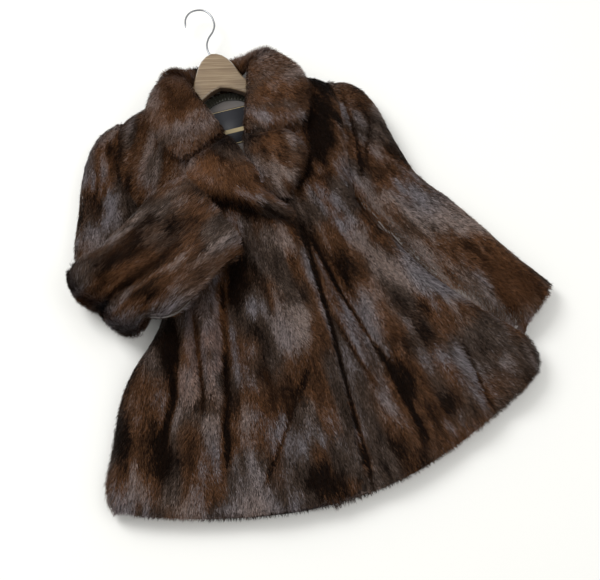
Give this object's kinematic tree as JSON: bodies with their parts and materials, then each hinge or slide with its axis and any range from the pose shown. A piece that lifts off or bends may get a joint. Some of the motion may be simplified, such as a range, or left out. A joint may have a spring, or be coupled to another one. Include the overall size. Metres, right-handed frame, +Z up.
{
  "type": "fur coat on a hanger",
  "caption": "Short fur coat with a wide notched collar and flared hem, laid flat on its back on a wooden hanger, one sleeve folded over the front.",
  "frame": {"origin": "centre of the bounding box's underside, on the surface the coat lies on", "axes": "+Y from hem to neck, +X to the coat's left side, +Z up off the surface"},
  "size_m": [0.813, 1.0056, 0.0941],
  "materials": {
    "fur": "dense dark brown fur with a soft sheen",
    "lining": "satin",
    "neck_trim": "gathered satin",
    "label": "woven, blank",
    "hanger_wood": "lacquered",
    "hook_wire": "polished wire"
  },
  "bodies": {
    "root": {"back": "fur", "front_left": "fur", "front_right": "fur", "sleeve_left_top": "fur", "sleeve_left_under": "fur", "sleeve_right_outer": "fur", "sleeve_right_inner": "fur", "collar": "fur", "lapel_right": "fur", "lapel_left": "fur", "lining_back": "lining", "neck_trim": "neck_trim", "label": "label", "hanger": "hanger_wood", "hook": "hook_wire"}
  },
  "joints": []
}
